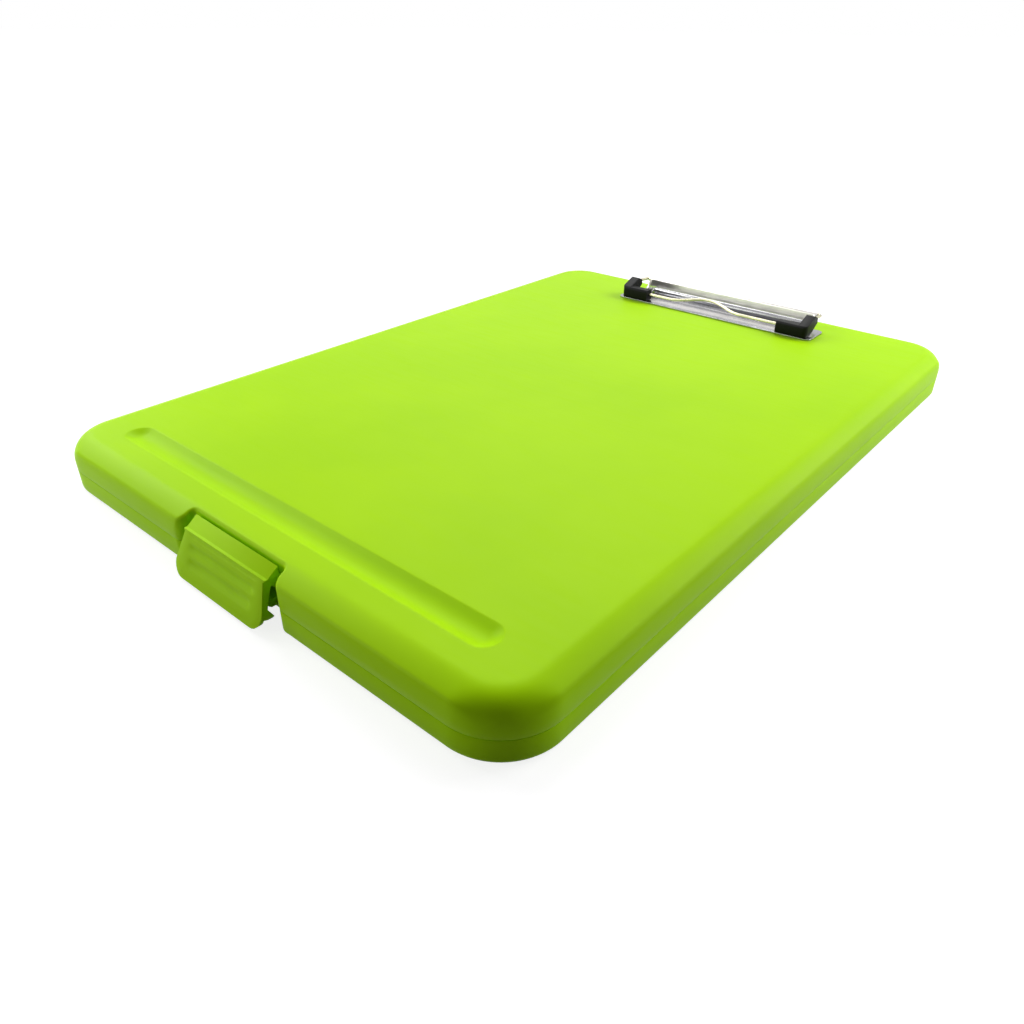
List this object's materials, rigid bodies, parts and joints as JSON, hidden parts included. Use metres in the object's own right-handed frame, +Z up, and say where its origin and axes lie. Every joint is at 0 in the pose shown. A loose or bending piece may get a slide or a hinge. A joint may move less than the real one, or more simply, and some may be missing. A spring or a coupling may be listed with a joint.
{
  "type": "storage clipboard box",
  "caption": "Flat hinged plastic box for letter paper whose lid is a writing board with a low metal clip, a pen groove and a front latch.",
  "frame": {"origin": "centre of the tray's flat underside", "axes": "+Z up, +X to the right seen from the latch edge, +Y towards the hinge edge where the clip is"},
  "size_m": [0.241, 0.3564, 0.0312],
  "materials": {
    "lime_plastic": "satin moulded polypropylene",
    "plated_steel": "bright nickel plate",
    "steel": "plain steel",
    "black_plastic": "satin"
  },
  "bodies": {
    "tray_body": {"tray": "lime_plastic", "hinge_pins": "steel"},
    "lid_body": {"lid": "lime_plastic", "latch_pin": "steel", "clip_base_plate": "plated_steel", "clip_rivets": "steel", "rivet_washers": "steel", "clip_pivot_rod": "steel", "clip_spring_left": "steel", "clip_spring_right": "steel"},
    "latch_body": {"latch": "lime_plastic"},
    "clip_body": {"clip_lever": "plated_steel", "clip_bail_wire": "plated_steel", "corner_cap_left": "black_plastic", "corner_cap_right": "black_plastic"}
  },
  "joints": [
    {"name": "lid_hinge", "type": "hinge", "parent": "tray_body", "child": "lid_body", "pos_m": [0, 0.1752, 0.009], "axis": [-1, 0, 0], "range_deg": [0, 150]},
    {"name": "latch_hinge", "type": "hinge", "parent": "lid_body", "child": "latch_body", "pos_m": [0, -0.1682, 0.0148], "axis": [-1, 0, 0], "range_deg": [0, 10]},
    {"name": "clip_hinge", "type": "hinge", "parent": "lid_body", "child": "clip_body", "pos_m": [0.003, 0.1506, 0.02275], "axis": [-1, 0, 0], "range_deg": [0, 30], "stiffness_Nm_per_rad": 0.15, "springref_deg": -45.84}
  ]
}
